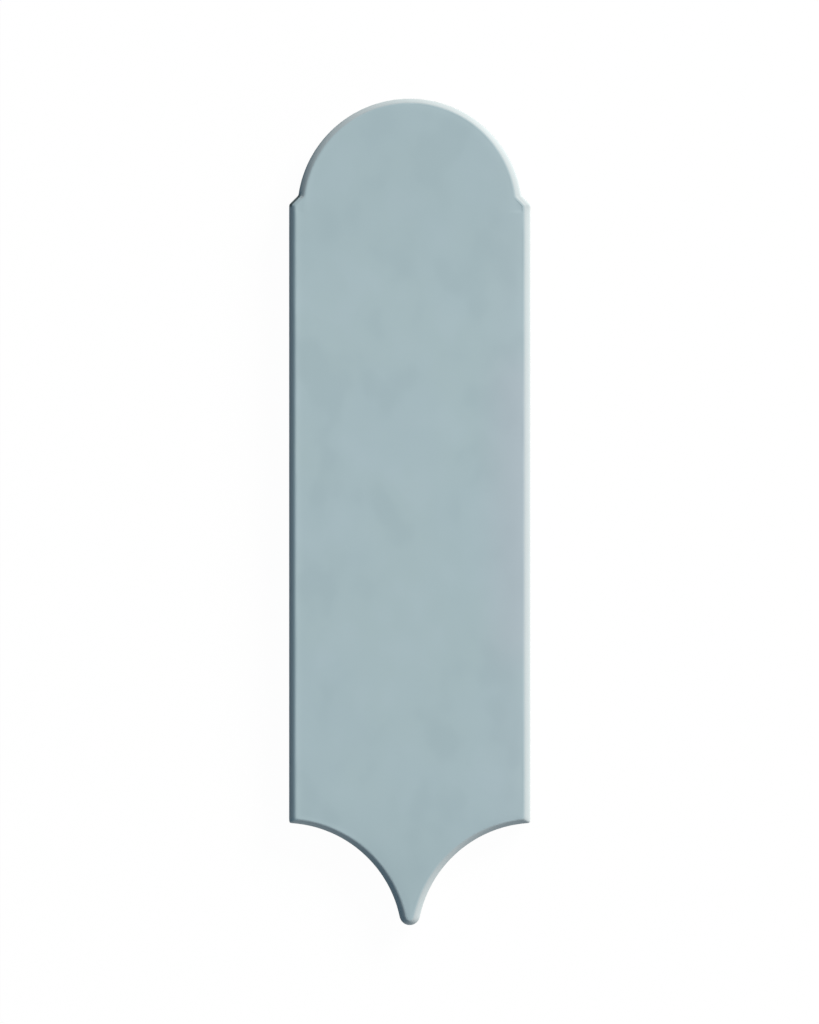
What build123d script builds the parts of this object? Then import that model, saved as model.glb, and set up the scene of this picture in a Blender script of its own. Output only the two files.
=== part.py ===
from build123d import *
from math import cos, radians, sin, sqrt, tan
import os

# A feather tile: a long glazed wall tile with a round head, two small sloping shoulders,
# straight sides and a tail of two hollow arcs that meet in a rounded tip. It is pressed
# and fired in one piece. Laid in rows, the head of one tile nests between two tails.
# The tile lies face up: +Z is up through the glaze, +Y points to the head, and the
# origin is the middle of the tile's outer box on the plane of the back. Millimetres.

# Overall size
width = 89.0
length = 305.0
thickness = 9.0

# Joint that the outline is drawn for, from a head to the tails around it
grout_joint = 2.1

# Head: how far its circle stands in from each side, the angle above the circle's
# centre line where it gives way to the shoulder, and how steeply the shoulder falls
head_inset = 3.0
neck_angle = 8.1
shoulder_slope = 45.0

# Tail: how far outside each side its arc is centred, and the radius of the tip
tail_centre_out = 1.9
tip_radius = 3.8

# Edge roll of the face: a quarter ellipse, so wide in plan and so deep
roll_width = 3.0
roll_drop = 2.2

# Arris of the back
back_chamfer = 0.6

# Keys of the back: a grid of drafted pockets inside a plain border, which the bedding
# adhesive grips. A pocket that the border cuts to less than this share is left out.
key_border = 6.0
key_pitch = 12.0
key_rib = 3.0
key_depth = 0.8
key_draft = 25.0
key_least_share = 0.3

# Outline, worked out from the sizes above
half_width = width / 2
top_y = length / 2
tip_y = -length / 2
head_radius = half_width - head_inset
head_centre_y = top_y - head_radius
neck_x = head_radius * cos(radians(neck_angle))
neck_y = head_centre_y + head_radius * sin(radians(neck_angle))
side_top_y = neck_y - (half_width - neck_x) * tan(radians(shoulder_slope))

# The tail's arcs are the head's, one joint larger, and the tip is tangent to both
tail_radius = head_radius + grout_joint
tail_centre_x = half_width + tail_centre_out
tip_centre_y = tip_y + tip_radius
tail_centre_y = tip_centre_y - sqrt((tail_radius + tip_radius) ** 2 - tail_centre_x**2)
side_foot_y = tail_centre_y + sqrt(tail_radius**2 - tail_centre_out**2)
tip_share = tip_radius / (tail_radius + tip_radius)
tip_end_x = tail_centre_x * tip_share
tip_end_y = tip_centre_y + (tail_centre_y - tip_centre_y) * tip_share


def tail_arc(side):
    """The hollow arc of one flank of the tail, from the side's foot to the tip. side is -1 or 1."""
    centre = Vector(side * tail_centre_x, tail_centre_y)
    foot = Vector(side * half_width, side_foot_y)
    end = Vector(side * tip_end_x, tip_end_y)
    halfway = ((foot - centre).normalized() + (end - centre).normalized()).normalized()
    return ThreePointArc(foot, centre + halfway * tail_radius, end)


def outline(start_y, z):
    """The tile's outline at a height, run from a point of the left side down and round."""
    start = (-half_width, start_y)
    runs = [
        Line(start, (-half_width, side_foot_y)),
        tail_arc(-1),
        ThreePointArc((-tip_end_x, tip_end_y), (0, tip_y), (tip_end_x, tip_end_y)),
        tail_arc(1),
        Line((half_width, side_foot_y), (half_width, side_top_y)),
        Line((half_width, side_top_y), (neck_x, neck_y)),
        ThreePointArc((neck_x, neck_y), (0, top_y), (-neck_x, neck_y)),
        Line((-neck_x, neck_y), (-half_width, side_top_y)),
    ]
    if start_y < side_top_y:
        runs.append(Line((-half_width, side_top_y), start))
    return Wire([run.edge().moved(Location((0, 0, z))) for run in runs])


def slab():
    """The tile's full block, with square edges."""
    return extrude(make_face(outline(side_top_y, 0).edges()), thickness)


def roll_waste():
    """What the edge roll takes off: its section, swept round the outline with mitred corners."""
    clear = 1.0
    start_y = (side_top_y + side_foot_y) / 2
    section_plane = Plane(
        origin=(-half_width, start_y, thickness), x_dir=(1, 0, 0), z_dir=(0, -1, 0)
    )
    with BuildSketch(section_plane) as section:
        with BuildLine():
            Polyline(
                (0, -roll_drop),
                (-clear, -roll_drop),
                (-clear, clear),
                (roll_width, clear),
                (roll_width, 0),
            )
            EllipticalCenterArc(
                (roll_width, -roll_drop), roll_width, roll_drop, start_angle=90, arc_size=90
            )
        make_face()
    return sweep(
        section.sketch, path=outline(start_y, thickness), transition=Transition.RIGHT
    )


def key_pockets():
    """The drafted pockets of the back, clipped to the field inside the border."""
    mouth = key_pitch - key_rib
    field = offset(make_face(outline(side_top_y, 0).edges()), -key_border)
    columns = int(width / key_pitch) + 1
    rows = int(length / key_pitch) + 1
    pockets = []
    for place in GridLocations(key_pitch, key_pitch, columns, rows):
        for piece in (field & (place * Rectangle(mouth, mouth))).faces():
            if piece.area >= key_least_share * mouth**2:
                pockets.append(extrude(piece, key_depth, dir=(0, 0, 1), taper=key_draft))
    return pockets


def tile():
    """The whole tile: rolled at the face, chamfered at the back and keyed."""
    body = slab() - roll_waste()
    body = chamfer(body.faces().sort_by(Axis.Z)[0].outer_wire().edges(), back_chamfer)
    return body - key_pockets()


os.makedirs("parts", exist_ok=True)
made = tile()
export_step(made, "parts/tile.step")
size = made.bounding_box().size
print(f"tile {size.X:.2f} x {size.Y:.2f} x {size.Z:.2f} mm, volume {made.volume / 1000:.1f} cm3")
print(f"head radius {head_radius:.2f}, tail radius {tail_radius:.2f}, faces {len(made.faces())}")
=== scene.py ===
# %% [markdown]
# # A glazed feather tile
#
# The object is one ceramic wall tile: a round head, two small shoulders, straight sides and a
# tail of two hollow arcs. It was pressed from clay, dipped or sprayed with a blue-grey glaze and
# fired, so it has two surfaces to make: the soft, slightly uneven glaze on the face and down the
# edges, and the bare fired clay of the lower edge and the keyed back.
#
# The construction model already holds the outline and the sizes. It is loaded first as a fixed
# frame, and everything here is built in the same place, in metres.

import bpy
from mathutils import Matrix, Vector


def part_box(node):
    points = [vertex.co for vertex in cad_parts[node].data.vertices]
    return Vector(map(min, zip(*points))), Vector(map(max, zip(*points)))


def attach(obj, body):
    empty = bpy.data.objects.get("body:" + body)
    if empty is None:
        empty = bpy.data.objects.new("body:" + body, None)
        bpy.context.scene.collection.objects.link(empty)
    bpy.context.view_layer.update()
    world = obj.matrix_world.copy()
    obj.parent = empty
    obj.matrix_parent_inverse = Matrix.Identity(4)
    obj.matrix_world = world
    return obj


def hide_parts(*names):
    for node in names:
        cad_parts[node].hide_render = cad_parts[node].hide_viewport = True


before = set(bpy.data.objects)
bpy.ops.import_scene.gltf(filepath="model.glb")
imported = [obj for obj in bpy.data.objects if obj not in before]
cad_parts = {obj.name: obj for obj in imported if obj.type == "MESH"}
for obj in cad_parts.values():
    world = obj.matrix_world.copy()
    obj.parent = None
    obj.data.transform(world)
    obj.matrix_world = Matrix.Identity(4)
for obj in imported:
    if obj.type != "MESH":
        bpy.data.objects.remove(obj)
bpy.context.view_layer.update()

# %% [markdown]
# ## Sizes
#
# The three overall sizes come from the frame. The rest are the real sizes of the tile's
# features, as the construction model has them: a maker would read them off the mould drawing.
# The head's circle and the tail's arcs differ by one grout joint, so that tiles nest.

# %% Sizes of the outline
from math import acos, atan2, cos, exp, hypot, pi, radians, sin, sqrt, tan

mm = 0.001
low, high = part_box("tile")
half_width = (high.x - low.x) / 2
top_y, tip_y = high.y, low.y
top_z = high.z
roll_drop = 2.2 * mm
side_z = top_z - roll_drop

head_inset = 3.0 * mm
neck_angle = radians(8.1)
shoulder_slope = radians(45)
grout_joint = 2.1 * mm
tail_centre_out = 1.9 * mm
tip_radius = 3.8 * mm

head_radius = half_width - head_inset
head_y = top_y - head_radius
tail_radius = head_radius + grout_joint
tail_x = half_width + tail_centre_out
tip_centre_y = tip_y + tip_radius
tail_y = tip_centre_y - sqrt((tail_radius + tip_radius) ** 2 - tail_x**2)
foot_y = tail_y + sqrt(tail_radius**2 - tail_centre_out**2)
print(f"head radius {head_radius / mm:.1f} mm, tail radius {tail_radius / mm:.1f} mm")

# %% [markdown]
# ## Camera
#
# The tile lies face up and the picture is taken from straight above, head up. A long lens far
# away keeps the view nearly free of perspective, so the sides look parallel. The distance comes
# from similar triangles: the sensor's height is to the lens as the frame's height is to the
# distance of the tile's edge.

# %% Camera
import bpy

frame_height = 377.9 * mm
aim_x, aim_y = -0.07 * mm, -0.03 * mm
lens_mm, sensor_mm = 150, 36
camera_data = bpy.data.cameras.new("camera")
camera_data.lens = lens_mm
camera_data.sensor_width = sensor_mm
camera = bpy.data.objects.new("camera", camera_data)
camera.location = (aim_x, aim_y, side_z + frame_height * lens_mm / sensor_mm)
bpy.context.scene.collection.objects.link(camera)
bpy.context.scene.camera = camera
print(f"camera {camera.location.z:.3f} m above the floor")

# %% [markdown]
# ## The outline, at any distance inside the edge
#
# Every level of the tile's edge follows the same outline, only a little further in: the edge
# roll, the glaze line, the chamfer of the back. So the outline is one function of the inset. Its
# runs are a circle, a line, a line, a hollow arc and a small circle. Moved inwards, the head and
# the tip shrink, the tail's arcs grow, and each pair meets at a new corner, which gives the
# mitred corners of a pressed tile. The inset to the sides may be larger than the one up and
# down, which turns the circles into slight ellipses. Only the left half is worked out, and the
# right one mirrors it. Points crowd towards the ends of each run, where the corners need them.

# %% Half of the outline
head_steps, shoulder_steps, side_steps, tail_steps, tip_steps = 64, 10, 110, 64, 14


def crowded(steps):
    """Fractions from 0 up to 1, without 1 itself, closer together towards both ends."""
    return [(1 - cos(pi * n / steps)) / 2 for n in range(steps)]


def arc(centre, half_axes, start, end, steps):
    turns = [start + (end - start) * share for share in crowded(steps)]
    return [
        (centre[0] + half_axes[0] * cos(a), centre[1] + half_axes[1] * sin(a)) for a in turns
    ]


def line(start, end, steps):
    return [
        tuple(a + (b - a) * share for a, b in zip(start, end)) for share in crowded(steps)
    ]


def shoulder_corners(across, along):
    """Where the shoulder meets the head and the side, and the neck's turn on the head."""
    rise = (cos(shoulder_slope), sin(shoulder_slope))
    x = -head_radius * cos(neck_angle) + across * rise[1]
    y = head_radius * sin(neck_angle) - along * rise[0]
    radius = head_radius - along
    stretch = radius / (head_radius - across)
    a = (stretch * rise[0]) ** 2 + rise[1] ** 2
    b = stretch**2 * x * rise[0] + y * rise[1]
    reach = (-b - sqrt(b**2 - a * ((stretch * x) ** 2 + y**2 - radius**2))) / a
    neck = (x + reach * rise[0], y + reach * rise[1])
    neck_turn = atan2(neck[1], stretch * neck[0])
    side_x = across - half_width
    side_top = head_y + y + (side_x - x) * tan(shoulder_slope)
    return (neck[0], head_y + neck[1]), (side_x, side_top), neck_turn


def half_outline(across, along):
    """The left half of the outline, from the middle of the head to the middle of the tip."""
    neck, shoulder, neck_turn = shoulder_corners(across, along)
    head_axes = (head_radius - across, head_radius - along)
    tail_axes = (tail_radius + across, tail_radius + along)
    tip_axes = (max(tip_radius - across, 0), max(tip_radius - along, 0))
    foot_turn = acos((across + tail_centre_out) / tail_axes[0])
    foot = (across - half_width, tail_y + tail_axes[1] * sin(foot_turn))
    tail_turn = acos(tail_x / (tail_axes[0] + tip_axes[0]))
    tip_end_y = tail_y + (tail_axes[1] + tip_axes[1]) * sin(tail_turn)
    return [
        *arc((0, head_y), head_axes, pi / 2, neck_turn, head_steps),
        *line(neck, shoulder, shoulder_steps),
        *line(shoulder, foot, side_steps),
        *arc((-tail_x, tail_y), tail_axes, foot_turn, tail_turn, tail_steps),
        *arc((0, tip_end_y), tip_axes, pi + tail_turn, 1.5 * pi, tip_steps),
        (0, tip_end_y - tip_axes[1]),
    ]


print(len(half_outline(0, 0)), "points along half of the outline")

# %% [markdown]
# Glaze and pressed clay have no knife-sharp corners. Averaging each point with its neighbours,
# weighted by a bell curve of a third of a millimetre, rounds the corners and leaves the long
# arcs and straight sides where they are. The two feet of the sides are the corners that wear
# most in the mould, so they get a wider curve.

# %% A closed ring with eased corners
import numpy as np

corner_ease, foot_ease, foot_reach = 0.35 * mm, 0.65 * mm, 4 * mm


def eased(points, reach):
    """A closed loop of points, each averaged with its neighbours along the loop."""
    points = np.array(points)
    steps = np.linalg.norm(np.roll(points, -1, axis=0) - points, axis=1)
    place = np.concatenate([[0], np.cumsum(steps)[:-1]])
    share = (steps + np.roll(steps, 1)) / 2
    apart = np.abs(place[:, None] - place[None, :])
    apart = np.minimum(apart, steps.sum() - apart)
    weight = np.exp(-((apart / reach) ** 2) / 2) * share
    return weight @ points / weight.sum(axis=1)[:, None]


def ring(inset, widening=1.0):
    """The whole outline at an inset: down the left side, round the tip and up the right."""
    left = half_outline(widening * inset, inset)
    points = np.array(left + [(-x, y) for x, y in left[-2:0:-1]])
    near_foot = np.abs(points[:, 1:] - foot_y) < foot_reach
    return eased(points, np.where(near_foot, foot_ease, corner_ease))


edge = ring(0)
width, length = np.ptp(edge, axis=0) / mm
print(f"ring of {len(edge)} points, {width:.2f} x {length:.2f} mm")

# %% [markdown]
# ## Collecting the mesh
#
# The tile is one closed skin, built from rings and strips between them. A small collector keeps
# the points and faces, and which of the two surfaces each face shows: 0 glaze, 1 bare clay.

# %% A collector for points and faces
GLAZE, CLAY = 0, 1


class Skin:
    """Points and faces of one mesh. Each face is a list of point numbers and has a look."""

    def __init__(self):
        self.points = []
        self.faces = []
        self.looks = []

    def add(self, points):
        """Adds points and gives their numbers."""
        first = len(self.points)
        self.points.extend(tuple(p) for p in points)
        return list(range(first, len(self.points)))

    def face(self, numbers, look):
        self.faces.append(numbers)
        self.looks.append(look)

    def strip(self, upper, lower, look):
        """Closes the band between two rings, the upper one on the left as one walks along."""
        for n in range(len(upper)):
            self.face([upper[n - 1], lower[n - 1], lower[n], upper[n]], look)


skin = Skin()
print("empty skin ready")

# %% [markdown]
# ## How far inside the edge a point lies
#
# What the glaze does near the rim depends on the distance from the edge. The outline's runs are
# circles and straight lines, so that distance is the smallest of a few differences. The roll is
# a third wider towards the sides than towards the head and the tip, as the photograph's dark and
# bright rims are, and distances towards the sides are counted that much smaller.

# %% Distance from the edge
side_widening = 1.33
tiny = 1e-12


def from_circle(x, y, radius):
    """The inset of a point from a circle, counted smaller towards the sides by the widening."""
    gap = abs(sqrt(x**2 + y**2) - radius)
    return gap / (1 + (side_widening - 1) * x**2 / (x**2 + y**2 + tiny))


def from_edge(x, y):
    """The inset of a point of the face from the nearest edge."""
    x = abs(x)
    gaps = [(half_width - x) / side_widening, from_circle(x - tail_x, y - tail_y, tail_radius)]
    if y > head_y:
        gaps.append(from_circle(x, y - head_y, head_radius))
    if y < tip_centre_y:
        gaps.append(from_circle(x, y - tip_centre_y, tip_radius))
    return min(gaps)


print(f"the middle of the head lies {from_edge(0, head_y) / mm:.2f} mm inside the edge")

# %% [markdown]
# ## The glaze's own relief
#
# A hand-sprayed glaze is never quite flat. It drifts up and down by a few hundredths of a
# millimetre over a finger's width. Where the face turns into the edge, it has drawn into a faint
# bead on the left, and has sunk by a tenth of a millimetre on the right, where some of it ran
# off as it melted. This is too little to see as a shape, but light from the side shows it: as
# the soft clouds of the photograph, and as the soft inner border of its bright rim. So it is
# real relief in the mesh, and not only colour. The bead and the sag come first. The sag lifts
# again at the very edge of the head's upper right, where the rim would be too bright otherwise.

# %% Bead on the left and sag on the right
bead_inset, bead_spread, bead_height = 2.15 * mm, 0.8 * mm, 0.03 * mm
all_bead_x, all_sag_x = -30 * mm, -5 * mm
sag_reach, sag_depth = 2.4 * mm, 0.11 * mm
lift_reach, lift_height = 1.2 * mm, 0.085 * mm
lift_turn, lift_full, lift_end = radians(40), 0.92, 0.72


def faded(value, core, end):
    """1 up to core, 0 beyond end and a smooth fall between."""
    share = min(max((value - core) / (end - core), 0), 1)
    return 1 - share * share * (3 - 2 * share)


def bead(x, y):
    off_bead = (from_edge(x, y) - bead_inset) / bead_spread
    return faded(x, all_bead_x, all_sag_x) * bead_height * exp(-(off_bead**2))


def sag(x, y, inset):
    """How much the glaze has sunk towards the right edges, a little less at the upper right."""
    from_head = hypot(x, y - head_y) + mm
    turn = (x * cos(lift_turn) + (y - head_y) * sin(lift_turn)) / from_head
    lift = lift_height * max(1 - inset / lift_reach, 0) * (1 - faded(turn, lift_end, lift_full))
    sunk = sag_depth * exp(-((inset / sag_reach) ** 2)) - lift
    return (1 - faded(x, all_bead_x, all_sag_x)) * sunk


print(f"at the right edge the glaze has sunk by {sag(half_width, 0, 0) / mm:.2f} mm")

# %% [markdown]
# The rest of the relief is noise of two sizes, a slow drift and a finer ripple, on the plain
# level of the face. The noise depends on the place alone, which gives the same tile each time.

# %% Relief of the face
from mathutils import Vector, noise

drift_size, drift_height = 24 * mm, 0.05 * mm
ripple_size, ripple_height = 8 * mm, 0.016 * mm
face_level = top_z - 0.085 * mm


def cloud(x, y, size, seed=0.0):
    """Smooth noise between about -1 and 1, with lumps of that size."""
    return noise.noise(Vector((x / size, y / size, seed)))


def relief(x, y):
    """The drift, ripple and bead of the glaze, as a height above the plain face."""
    drift = drift_height * cloud(x, y, drift_size, seed=3.7)
    ripple = ripple_height * cloud(x, y, ripple_size, seed=8.1)
    return drift + ripple + bead(x, y)


def face_height(x, y):
    return face_level + relief(x, y) - sag(x, y, from_edge(x, y))


heights = [face_height(x, 0) / mm for x in np.linspace(-38 * mm, 38 * mm, 20)]
print(f"across the middle the face lies between {min(heights):.3f} and {max(heights):.3f} mm")

# %% [markdown]
# ## The face
#
# The face is filled by rungs. Each point of the left side has its mirror image on the right at
# the same height, so a straight rung joins them, and all rungs together make a ladder of quads
# with no odd triangles to catch the light. Points along a rung crowd towards its ends, for the
# bead and the sag. The first ring of the roll is the face's rim.

# %% Ladder of quads across the face
rung_steps = 48
roll_reach = 2.4 * mm


def fill_face(rim):
    """Joins the left and right halves of the rim, given as point numbers, by rungs."""
    half = len(rim) // 2
    rungs = [[rim[0]]]
    for n in range(1, half):
        x, y = skin.points[rim[n]][:2]
        across = [x * cos(pi * step / rung_steps) for step in range(1, rung_steps)]
        inner = skin.add([(place, y, face_height(place, y)) for place in across])
        rungs.append([rim[n], *inner, rim[-n]])
    for before, after in zip(rungs[1:], rungs[2:]):
        for n in range(rung_steps):
            skin.face([before[n], after[n], after[n + 1], before[n + 1]], GLAZE)
    for n in range(rung_steps):
        skin.face([rim[0], rungs[1][n], rungs[1][n + 1]], GLAZE)
        skin.face([rim[half], rungs[-1][n + 1], rungs[-1][n]], GLAZE)


rim_points = [(x, y, face_height(x, y)) for x, y in ring(roll_reach, side_widening)]
face_rim = skin.add(rim_points)
fill_face(face_rim)
print(len(skin.faces), "faces on the top")

# %% [markdown]
# ## The rolled edge
#
# At its edge the face bends down over 2 to 3 mm, first gently and then more steeply, and turns
# into the upright side over a small round. The section is drawn as a few straight runs, each
# corner a pair of inset and depth, and then eased like the outline's corners, which makes one
# flowing curve of them. Each point of the curve becomes a ring of the outline, and strips join
# the rings. The glaze is a little uneven here, because it creeps while it melts.

# %% Section of the roll
roll_runs = [
    (4, 0), (1.95, 0), (1.55, 0.09), (1.05, 0.41), (0.55, 0.83), (0.2, 1.2), (0, 1.75), (0, 5)
]
roll_ease, steps_per_ease = 0.2 * mm, 8
roll_end = roll_drop + 0.2 * mm
ring_spacing = 0.13 * mm


def eased_section(runs, reach):
    """An open line of short runs, its corners eased, as points of inset and depth."""
    corners = np.array(runs) * mm
    along = np.concatenate([[0], np.cumsum(np.linalg.norm(np.diff(corners, axis=0), axis=1))])
    places = np.arange(0, along[-1], reach / steps_per_ease)
    line_points = np.stack([np.interp(places, along, corners[:, axis]) for axis in (0, 1)], axis=1)
    weight = np.exp(-(((places[:, None] - places[None, :]) / reach) ** 2) / 2)
    return weight @ line_points / weight.sum(axis=1)[:, None]


def roll_section():
    """Insets and depths of the rings, from just outside the face down to the upright side."""
    section = eased_section(roll_runs, roll_ease)
    section = section[(section[:, 0] < roll_reach) & (section[:, 1] < roll_end)]
    along = np.concatenate([[0], np.cumsum(np.linalg.norm(np.diff(section, axis=0), axis=1))])
    places = np.linspace(0, along[-1], int(along[-1] / ring_spacing) + 1)[1:]
    return [tuple(np.interp(place, along, column) for column in section.T) for place in places]


rolled = roll_section()
print(len(rolled), "rings, the last one", f"{rolled[-1][1] / mm:.2f} mm below the face")

# %% [markdown]
# The roll differs at the two shoulders. Its outer part drops more steeply at the left one, and
# is blunter at the right one, which would be brighter than in the photograph otherwise.

# %% Shoulders of the roll
crisp_depth, crisp_width = 0.65 * mm, 0.8 * mm
blunt_depth, blunt_width = -0.28 * mm, 1.2 * mm
shoulder_core, shoulder_end = 2.2 * mm, 4.2 * mm
neck, side_top, _ = shoulder_corners(0, 0)
shoulder_middle = ((neck[0] + side_top[0]) / 2, (neck[1] + side_top[1]) / 2)


def deeper(x, y, inset):
    """How much deeper the roll lies near a shoulder, crisp on the left and blunt on the right."""
    depth, width = (crisp_depth, crisp_width) if x < 0 else (blunt_depth, blunt_width)
    from_middle = hypot(-abs(x) - shoulder_middle[0], y - shoulder_middle[1])
    return depth * faded(from_middle, shoulder_core, shoulder_end) * max(1 - inset / width, 0)


print(f"the left shoulder's arris lies {deeper(*shoulder_middle, 0) / mm:.2f} mm deeper")

# %% [markdown]
# The drift and the bead of the face have to fade out over the roll, or the outline itself would
# go up and down. So they are multiplied by the share of the roll's width that is left, while the
# sag runs on to the edge.

# %% Rings of the roll
creep_size, creep_depth = 7 * mm, 0.04 * mm


def level(inset, height, widening=1.0):
    """A ring whose height is a number or a function of its place."""
    rise = height if callable(height) else lambda x, y: height
    return skin.add([(x, y, rise(x, y)) for x, y in ring(inset, widening)])


def roll_height(inset, depth):
    """The height of one ring of the roll, as a function of the place."""
    left = inset / roll_reach

    def rise(x, y):
        creep = creep_depth * cloud(x, y, creep_size, seed=5.5) * 4 * left * (1 - left)
        own = (face_level + relief(x, y) - top_z) * left
        return top_z - depth + creep + own - sag(x, y, inset) - deeper(x, y, inset)

    return rise


last = face_rim
for inset, depth in rolled:
    following = level(inset, roll_height(inset, depth), side_widening)
    skin.strip(last, following, GLAZE)
    last = following
print(len(skin.faces), "faces on the top and the roll")

# %% [markdown]
# ## Glaze line and bare clay
#
# The glaze stops part of the way down the edge, in a soft wandering line with a rounded lip,
# because the lower edge is wiped so that the tile doesn't stick to the kiln. Below it the bare
# clay stands back by the glaze's thickness, and a small chamfer leads to the back.

# %% Lip of the glaze and the lower edge
glaze_line, line_wander, line_size = 2.2 * mm, 0.45 * mm, 11 * mm
glaze_thickness = 0.22 * mm
chamfer = 0.6 * mm
border_inset = 1.5 * mm


def lip(share):
    """The height of the glaze line, plus so many times the glaze's thickness."""

    def rise(x, y):
        wander = line_wander * cloud(x, y, line_size, seed=1.3)
        return glaze_line + wander + share * glaze_thickness

    return rise


lip_section = [(0, 1.6), (0.12, 0.75), (0.45, 0.2), (0.85, 0.0)]
clay_section = [
    (glaze_thickness, lip(-0.3)),
    (glaze_thickness, lip(-1.5)),
    (glaze_thickness, chamfer + 0.15 * mm),
    (glaze_thickness + 0.04 * mm, chamfer + 0.02 * mm),
    (glaze_thickness + chamfer - 0.06 * mm, 0.05 * mm),
    (glaze_thickness + chamfer + 0.08 * mm, 0.0),
    (border_inset, 0.0),
]
for inset, height in lip_section:
    following = level(inset * glaze_thickness, lip(height))
    skin.strip(last, following, GLAZE)
    last = following
for inset, height in clay_section:
    following = level(inset, height)
    skin.strip(last, following, CLAY)
    last = following
back_rim = last
print(f"bare clay {glaze_thickness / mm:.2f} mm inside the glaze, {len(skin.faces)} faces so far")

# %% [markdown]
# ## Keys of the back
#
# The back is pressed with a grid of shallow drafted pockets, which the adhesive grips. Along the
# plain border the pockets are cut to the border's line. So each pocket is a square, clipped to
# the field inside the border, with its corners eased as a steel die leaves them.

# %% Cutting, easing and thinning loops
key_border, key_pitch, key_rib, key_depth = 6 * mm, 12 * mm, 3 * mm, 0.8 * mm
key_draft = radians(25)
least_share = 0.3
pocket_ease = 0.8 * mm
straight_turn = radians(1.5)


def clipped(polygon, axis, limit, side):
    """The part of a polygon where side times a coordinate is under side times the limit."""
    kept = []
    for start, end in zip(polygon, polygon[1:] + polygon[:1]):
        start_in = side * (start[axis] - limit) <= 0
        if start_in:
            kept.append(start)
        if start_in != (side * (end[axis] - limit) <= 0):
            share = (limit - start[axis]) / (end[axis] - start[axis])
            kept.append(tuple(a + (b - a) * share for a, b in zip(start, end)))
    return kept


def area(polygon):
    turned = polygon[1:] + polygon[:1]
    return sum(x0 * y1 - x1 * y0 for (x0, y0), (x1, y1) in zip(polygon, turned)) / 2


def evenly(polygon, step):
    """Points along a closed polygon, about a step apart."""
    points = np.array(polygon + polygon[:1])
    along = np.concatenate([[0], np.cumsum(np.linalg.norm(np.diff(points, axis=0), axis=1))])
    places = np.linspace(0, along[-1], int(along[-1] / step) + 1)[:-1]
    return np.stack([np.interp(places, along, points[:, axis]) for axis in (0, 1)], axis=1)


def needed(points, least_turn):
    """The points of a loop where it turns. Straight runs keep none between their ends."""
    before = points - np.roll(points, 1, axis=0)
    after = np.roll(points, -1, axis=0) - points
    cross = before[:, 0] * after[:, 1] - before[:, 1] * after[:, 0]
    turn = np.abs(np.arctan2(cross, (before * after).sum(axis=1)))
    return points[turn > least_turn]


square = [(0, 0), (3, 0), (3, 3), (0, 3)]
print("three quarters of a square cut off:", area(clipped(square, 0, 0.75, 1)), "of", area(square))

# %% [markdown]
# With these helpers the grid is laid out. Each square that keeps enough of itself inside the
# border becomes a pocket.

# %% Grid of the pockets
def pocket_outlines():
    """The mouths of all pockets, each a loop of points run anticlockwise."""
    field = [tuple(p) for p in ring(key_border)]
    half_mouth = (key_pitch - key_rib) / 2
    columns = int(2 * half_width / key_pitch) + 1
    rows = int((top_y - tip_y) / key_pitch) + 1
    outlines = []
    for column in range(columns):
        for row in range(rows):
            x = (column - (columns - 1) / 2) * key_pitch
            y = (row - (rows - 1) / 2) * key_pitch
            piece = clipped(field, 0, x + half_mouth, 1)
            piece = clipped(piece, 0, x - half_mouth, -1)
            piece = clipped(piece, 1, y + half_mouth, 1)
            piece = clipped(piece, 1, y - half_mouth, -1)
            if len(piece) > 2 and area(piece) > least_share * (2 * half_mouth) ** 2:
                loop = eased(evenly(piece, pocket_ease / 2), pocket_ease)
                outlines.append(needed(loop, straight_turn))
    return outlines


pockets = pocket_outlines()
print(len(pockets), "pockets,", sum(len(p) for p in pockets), "points along their mouths")

# %% [markdown]
# Each pocket is a stack of loops: flat land, a small round over the arris, the drafted wall, a
# small round into the floor, and the floor itself. The loops are the mouth moved inwards, each
# by its own inset. The flat land between the pockets is filled by Blender's Delaunay
# triangulation, which keeps the given loops as edges and says which loops each triangle is in.

# %% Walls and floors of the pockets
from mathutils.geometry import delaunay_2d_cdt

wall_inset = key_depth * tan(key_draft)
land_margin, arris_round = 0.3 * mm, 0.1 * mm
inside_only, merge_distance = 1, 1e-4


def moved_in(loop, distance):
    """A closed loop, run anticlockwise, moved inwards by a distance."""
    ahead = np.roll(loop, -1, axis=0) - loop
    ahead /= np.linalg.norm(ahead, axis=1)[:, None]
    inward = np.stack([-ahead[:, 1], ahead[:, 0]], axis=1)
    both = inward + np.roll(inward, 1, axis=0)
    return loop + distance * 2 * both / (both**2).sum(axis=1)[:, None]


def pocket_levels():
    """Inset and height of each loop, from the land to the floor."""
    over = [(-land_margin, 0), (-arris_round, 0), (-0.2 * arris_round, 0.25 * arris_round)]
    wall = [(0.12 * wall_inset, 0.16 * key_depth), (0.85 * wall_inset, 0.84 * key_depth)]
    floor = [(wall_inset, 0.96 * key_depth), (wall_inset + arris_round, key_depth)]
    return over + wall + floor


def press_pocket(mouth):
    """Adds one pocket and gives the point numbers of its outermost loop."""
    loops = []
    for inset, height in pocket_levels():
        loops.append(skin.add([(x, y, height) for x, y in moved_in(mouth, inset)]))
    for outer, inner in zip(loops, loops[1:]):
        skin.strip(outer, inner, CLAY)
    skin.face(loops[-1], CLAY)
    return loops[0]


def fill_land(outer, holes):
    """Triangles between the outer loop and the holes, all at the height of the back."""
    numbers = [n for loop in (outer, *holes) for n in loop]
    flat = [Vector(skin.points[n][:2]) / mm for n in numbers]
    starts = np.cumsum([0] + [len(loop) for loop in (outer, *holes)])
    loops = [list(range(start, end)) for start, end in zip(starts, starts[1:])]
    filled = delaunay_2d_cdt(flat, [], loops, inside_only, merge_distance)
    points, _, triangles, _, _, owners = filled
    assert len(points) == len(flat), "the loops of the back cross or touch"
    for triangle, owner in zip(triangles, owners):
        if list(owner) == [0]:
            skin.face([numbers[n] for n in reversed(triangle)], CLAY)


fill_land(back_rim, [press_pocket(mouth) for mouth in pockets])
print(f"{len(skin.points)} points and {len(skin.faces)} faces in all")

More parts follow.
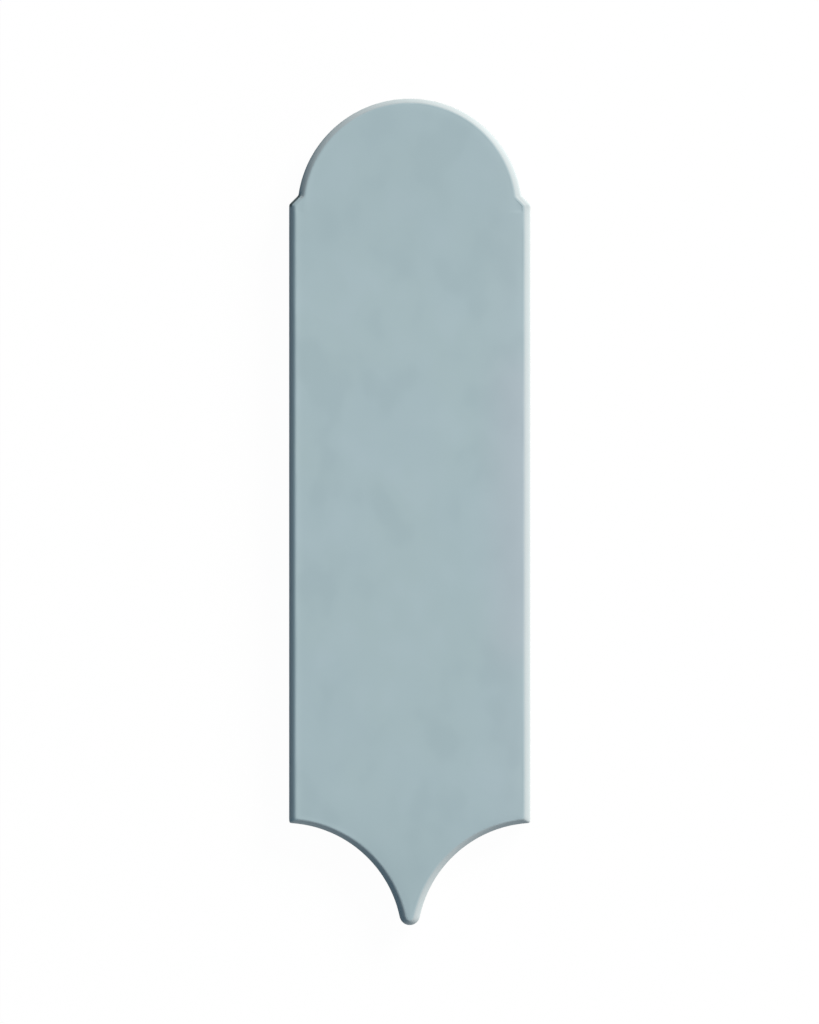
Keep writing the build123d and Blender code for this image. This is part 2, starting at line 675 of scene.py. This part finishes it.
# %% [markdown]
# ## From the collected skin to an object
#
# The mesh is made in one call. The faces are shaded smooth: the small rounds in the geometry
# carry the edges, as they do on the real tile. Only the floors of the pockets, the one kind of
# face with many corners, are shaded flat. The tile replaces the plain solid of the frame, rides
# on its body and takes its finish from the glaze.

# %% The tile as a Blender object
tile_mesh = bpy.data.meshes.new("glazed_tile")
tile_mesh.from_pydata(skin.points, [], skin.faces)
tile_mesh.polygons.foreach_set("material_index", skin.looks)
tile_mesh.polygons.foreach_set("use_smooth", [len(face) <= 4 for face in skin.faces])
repaired = tile_mesh.validate(verbose=True)
tile = bpy.data.objects.new("glazed_tile", tile_mesh)
bpy.context.scene.collection.objects.link(tile)
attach(tile, "root")
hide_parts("tile")
tile_mesh.calc_loop_triangles()
print("faults repaired:", repaired, "triangles:", len(tile_mesh.loop_triangles))

# %% [markdown]
# ## Writing shader maths as sums
#
# A material is a graph of nodes. Wired by hand, even a small sum takes many lines, so a node's
# output is wrapped in a class that knows plus, minus, times and powers: a sum on it adds Math
# nodes.

# %% A node's output that can be summed
class Signal:
    """One output of a node. Sums on values add Math nodes."""

    def __init__(self, maker, socket):
        self.maker = maker
        self.socket = socket

    def math(self, operation, *values):
        return self.maker.node("ShaderNodeMath", {"operation": operation}, dict(enumerate(values)))

    def __add__(self, other):
        return self.math("ADD", self, other)

    def __sub__(self, other):
        return self.math("SUBTRACT", self, other)

    def __rsub__(self, other):
        return self.math("SUBTRACT", other, self)

    def __mul__(self, other):
        return self.math("MULTIPLY", self, other)

    def __pow__(self, other):
        return self.math("POWER", self, other)

    __radd__ = __add__
    __rmul__ = __mul__


operators = ("add__", "sub__", "mul__", "pow__")
print("sums it knows:", [name for name in vars(Signal) if name.endswith(operators)])

# %% [markdown]
# All other nodes come from one method. It sets a node's own settings first, because they can
# change its sockets, and then the values or links of the sockets. The shorter methods after it
# are the nodes that this tile needs most often.

# %% One method for every node
class Maker:
    """Adds nodes to a material or to the world."""

    def __init__(self, owner):
        owner.use_nodes = True
        self.tree = owner.node_tree
        self.tree.nodes.clear()

    def node(self, kind, settings=None, values=None, output=0):
        """One node: its settings first, then values or links of its sockets."""
        made = self.tree.nodes.new(kind)
        for name, value in (settings or {}).items():
            setattr(made, name, value)
        for name, value in (values or {}).items():
            if isinstance(value, Signal):
                self.tree.links.new(value.socket, made.inputs[name])
            else:
                made.inputs[name].default_value = value
        return Signal(self, made.outputs[output]) if made.outputs else None

    def place(self):
        """The place on the object, in metres."""
        return self.node("ShaderNodeTexCoord", output="Object")

    def facing(self):
        """The direction that the surface faces, in the object's own frame."""
        return self.node("ShaderNodeTexCoord", output="Normal")

    def part(self, vector, axis):
        """One coordinate of a vector: X, Y or Z."""
        return self.node("ShaderNodeSeparateXYZ", values={0: vector}, output=axis)

    def mix(self, share, first, second):
        """A blend of two colours, by a share from 0 to 1."""
        return self.node(
            "ShaderNodeMix", {"data_type": "RGBA"}, {0: share, 6: first, 7: second}, output=2
        )

    def clouds(self, size, detail=2.0, roughness=0.5, seed=0.0, length=1.0):
        """Noise from 0 to 1 with lumps of that size in metres, as many times longer along Y."""
        place = self.node(
            "ShaderNodeVectorMath", {"operation": "DIVIDE"}, {0: self.place(), 1: (1, length, 1)}
        )
        values = {"Vector": place, "W": seed, "Scale": 1 / size, "Detail": detail}
        return self.node(
            "ShaderNodeTexNoise", {"noise_dimensions": "4D"}, {**values, "Roughness": roughness}
        )

    def spread(self, value, start, end):
        """0 below start, 1 above end and a smooth rise between."""
        return self.node(
            "ShaderNodeMapRange",
            {"interpolation_type": "SMOOTHSTEP"},
            {"Value": value, "From Min": start, "From Max": end},
        )


print("nodes by name:", [name for name in vars(Maker) if not name.startswith("_")])

# %% [markdown]
# Colours are written as they look on a screen, and are turned into the linear light that shaders
# work in.

# %% Screen colours
def srgb(red, green, blue):
    """A colour as a screen shows it, from 0 to 255, turned into the linear one of a shader."""

    def linear(c):
        c /= 255
        return c / 12.92 if c <= 0.04045 else ((c + 0.055) / 1.055) ** 2.4

    return (linear(red), linear(green), linear(blue), 1.0)


print("glaze as a linear colour", [round(c, 3) for c in srgb(165, 184, 189)])

# %% [markdown]
# ## Glaze
#
# The glaze is a soft blue-grey. Seen close it is mottled: darker flecks a fingertip wide and
# somewhat longer, paler ones between them, and a slow drift from a bluer to a greener grey. The
# colours lie close together, because a glaze varies by its thickness and not by its pigment, and
# each is laid over the one before by a mask of smooth noise.

# %% Mottled colour of the glaze
blue_grey = srgb(166, 186, 193)
green_grey = srgb(166, 186, 192)
lilac_grey = srgb(174, 185, 195)
deep_grey = srgb(157, 177, 184)
pale_grey = srgb(171, 190, 198)

glaze = bpy.data.materials.new("glaze")
g = Maker(glaze)
colour = g.mix(g.spread(g.clouds(30 * mm, seed=2.0), 0.38, 0.62), green_grey, blue_grey)
flecks = g.clouds(14 * mm, detail=1.5, seed=7.0, length=1.3)
colour = g.mix((1 - g.spread(flecks, 0.3, 0.5)) * 0.4, colour, deep_grey)
colour = g.mix(g.spread(flecks, 0.5, 0.7) * 0.35, colour, pale_grey)
print("mottling:", len(g.tree.nodes), "nodes")

# %% [markdown]
# The whole face isn't one shade either. It is a little more lilac along the middle of the right
# side, and a shade deeper at the head and towards the tip. These masks come from the place on
# the tile alone.

# %% Slow change of colour over the face
up_the_face = g.part(g.place(), "Y")
rightward = g.spread(g.part(g.place(), "X"), 22 * mm, 40 * mm)
midway = g.spread(up_the_face, -64 * mm, -44 * mm) - g.spread(up_the_face, 45 * mm, 65 * mm)
colour = g.mix(rightward * (0.15 + 0.4 * midway), colour, lilac_grey)
towards_tip = 1 - g.spread(up_the_face, tip_y + 16 * mm, tip_y + 50 * mm)
towards_head = g.spread(up_the_face, head_y - 40 * mm, head_y + 5 * mm)
colour = g.mix(towards_tip * 0.5 + towards_head * 0.3, colour, deep_grey)
print("with the slow change:", len(g.tree.nodes), "nodes")

# %% [markdown]
# Over the roll the glaze runs thin, and the pale clay shows through and greys it: near the edge
# on the left side, and from the first bend on everywhere else. That earlier, warmer grey away from
# the left side is partly painted light, the warm lamp's tint on the lit rim. Along the arris of
# the left shoulder, on the side away from the lamp, a thin dark line is painted shade. How steep
# the surface is tells the roll from the face.

# %% Thin glaze, painted warm light and painted shade
thin_and_lit_grey = srgb(166, 176, 180)
painted_shade_grey = srgb(60, 73, 76)

height = g.part(g.place(), "Z")
flat = g.part(g.facing(), "Z")
slope = (1 - flat * flat) ** 0.5
shoulder_place = (*shoulder_middle, top_z - 1.5 * mm)
from_shoulder = g.node(
    "ShaderNodeVectorMath", {"operation": "DISTANCE"}, {0: g.place(), 1: shoulder_place}, "Value"
)
near_shoulder = 1 - g.spread(from_shoulder, 2.3 * mm, 3.6 * mm)
off_left_side = g.spread(g.part(g.place(), "X"), -41.5 * mm, -40 * mm)
thin_late = g.spread(slope, 0.36, 0.54)
# Away from the left side the grey starts at the first bend: partly thin glaze, partly painted warm
# light of the lit rim.
thin_and_lit_share = thin_late + off_left_side * (g.spread(slope, 0.04, 0.4) - thin_late)
thin_and_lit_share = thin_and_lit_share * (0.7 + 0.3 * g.clouds(5 * mm, seed=4.0))
colour = g.mix(thin_and_lit_share * (1 - 0.8 * near_shoulder), colour, thin_and_lit_grey)
# Painted shade: a dark grey line on the steep arris of the left shoulder, on the side away from
# the lamp.
on_arris = g.spread(slope, 0.64, 0.78) * g.spread(height, side_z - 0.9 * mm, side_z - 0.1 * mm)
colour = g.mix(near_shoulder * on_arris * 0.9, colour, painted_shade_grey)
print("with the thin glaze:", len(g.tree.nodes), "nodes")

# %% [markdown]
# The surface is satin: the photograph shows no reflection in it. Its roughness varies slightly,
# and a very fine skin of bumps keeps what it does reflect from looking like glass.

# %% Satin surface of the glaze
fine = g.clouds(0.9 * mm, detail=3)
bumps = g.node("ShaderNodeBump", values={"Height": fine, "Strength": 0.12, "Distance": 0.02 * mm})
glaze_surface = g.node(
    "ShaderNodeBsdfPrincipled",
    values={
        "Base Color": colour,
        "Roughness": 0.5 + 0.08 * g.clouds(8 * mm, detail=2, seed=9.0),
        "Normal": bumps,
        "Specular IOR Level": 0.1,
    },
)
g.node("ShaderNodeOutputMaterial", values={"Surface": glaze_surface})
tile_mesh.materials.append(glaze)
print("glaze:", len(g.tree.nodes), "nodes")

# %% [markdown]
# ## Bare clay
#
# The body is a pale buff earthenware. It has no shine, a chalky fine grain, soft darker and
# lighter patches from the kiln, and a scatter of small dark specks of grog.

# %% Clay material
buff = srgb(180, 162, 140)
pale_buff = srgb(192, 176, 155)
speck = srgb(132, 112, 92)

clay = bpy.data.materials.new("bare_clay")
c = Maker(clay)
body = c.mix(c.spread(c.clouds(20 * mm, detail=3, seed=1.0), 0.35, 0.65), buff, pale_buff)
grog = c.spread(c.clouds(0.7 * mm, detail=1, seed=3.0), 0.68, 0.74)
body = c.mix(grog * 0.7, body, speck)
grain = c.clouds(0.35 * mm, detail=3, roughness=0.6) + 0.8 * c.clouds(1.6 * mm, detail=2, seed=5.0)
grain_bumps = c.node(
    "ShaderNodeBump", values={"Height": grain, "Strength": 0.35, "Distance": 0.06 * mm}
)
clay_surface = c.node(
    "ShaderNodeBsdfPrincipled",
    values={"Base Color": body, "Roughness": 0.88, "Normal": grain_bumps},
)
c.node("ShaderNodeOutputMaterial", values={"Surface": clay_surface})
tile_mesh.materials.append(clay)
print("clay:", len(c.tree.nodes), "nodes")

# %% [markdown]
# ## Floor
#
# The tile lies on a plain white floor, a hair below its back so that the two planes don't mix.
# To the camera, and in reflections, the floor is mostly its own white, with a little of the
# light that falls on it mixed in, so that the tile's soft shadow stays. To the light that
# bounces about it is an ordinary pale surface.

# %% White floor
floor_radius, floor_corners, floor_z = 15.0, 96, -0.02 * mm
floor_white = (1.0, 1.0, 1.0, 1.0)
floor_bounce = (0.4, 0.4, 0.4, 1.0)
floor_own_white = 0.98

turns = np.linspace(0, 2 * pi, floor_corners + 1)[:-1]
corners = [(floor_radius * cos(a), floor_radius * sin(a), floor_z) for a in turns]
floor_mesh = bpy.data.meshes.new("floor")
floor_mesh.from_pydata(corners, [], [list(range(len(corners)))])
floor = bpy.data.objects.new("floor", floor_mesh)
bpy.context.scene.collection.objects.link(floor)


def seen(maker):
    """1 for rays of the camera, of reflections and of what is seen through glass, else 0."""
    ways = ("Is Camera Ray", "Is Glossy Ray", "Is Transmission Ray")
    rays = [maker.node("ShaderNodeLightPath", output=name) for name in ways]
    return rays[0].math("MAXIMUM", rays[0].math("MAXIMUM", rays[0], rays[1]), rays[2])


floor_look = bpy.data.materials.new("floor")
f = Maker(floor_look)
lit = f.node("ShaderNodeBsdfDiffuse", values={"Color": f.mix(seen(f), floor_bounce, floor_white)})
white = f.node("ShaderNodeEmission", values={"Color": floor_white, "Strength": 1.0})
surface = f.node("ShaderNodeMixShader", values={0: seen(f) * floor_own_white, 1: lit, 2: white})
f.node("ShaderNodeOutputMaterial", values={"Surface": surface})
floor_mesh.materials.append(floor_look)
print("floor", 2 * floor_radius, "m across")

# %% [markdown]
# ## World
#
# The backdrop is white too, for the camera and in reflections. For everything else the world is
# a weak, cool fill, so that the edge that faces away from the lamp stays as dark as in the
# photograph.

# %% World
fill_colour, fill_level = (0.55, 0.81, 1.0, 1.0), 0.255

world = bpy.data.worlds.new("studio")
bpy.context.scene.world = world
w = Maker(world)
fill = w.node("ShaderNodeBackground", values={"Color": fill_colour, "Strength": fill_level})
backdrop = w.node("ShaderNodeBackground", values={"Color": floor_white, "Strength": 1.0})
sky = w.node("ShaderNodeMixShader", values={0: seen(w), 1: fill, 2: backdrop})
w.node("ShaderNodeOutputWorld", values={"Surface": sky})
bpy.context.scene.view_settings.view_transform = "Standard"
print("world fill", fill_level)

# %% [markdown]
# ## Lamps
#
# The photograph's light comes from the upper right: the left edge is dark, the right one bright,
# and the rim is neither where it runs at a right angle to the light. The bright rim is nearly
# twice as bright as the face although the roll is shallow, so the light is low. One large soft
# lamp does most of that, and a weak one at the lower right keeps the right of the tail bright.
# Both stand far off, so that the head and the tail get the same light. A lamp's power follows
# from the brightness wanted: an area lamp of power P lights a white surface that faces it, at
# distance d, to P / (pi * d) ** 2.

# %% Soft lamps
lamp_distance = 8.0


def lamp(name, azimuth, elevation, width, height, level, colour):
    """A soft lamp that faces the tile and lights the face to that level, where 1 is white."""
    data = bpy.data.lights.new(name, "AREA")
    data.shape = "RECTANGLE"
    data.size, data.size_y = width, height
    turn, lift = radians(azimuth), radians(elevation)
    data.energy = level / sin(lift) * (pi * lamp_distance) ** 2
    data.color = colour
    made = bpy.data.objects.new(name, data)
    towards = Vector((cos(lift) * cos(turn), cos(lift) * sin(turn), sin(lift)))
    made.location = towards * lamp_distance
    made.rotation_euler = towards.to_track_quat("Z", "Y").to_euler()
    bpy.context.scene.collection.objects.link(made)
    print(f"{name} at {azimuth} degrees, {elevation} degrees up, lights the face to {level}")


warm_white = (1.0, 0.92, 0.845)
lamp("key_lamp", 47, 21, 4.5, 2.2, 0.765, warm_white)
lamp("side_lamp", -37, 14, 2.4, 1.2, 0.11, warm_white)
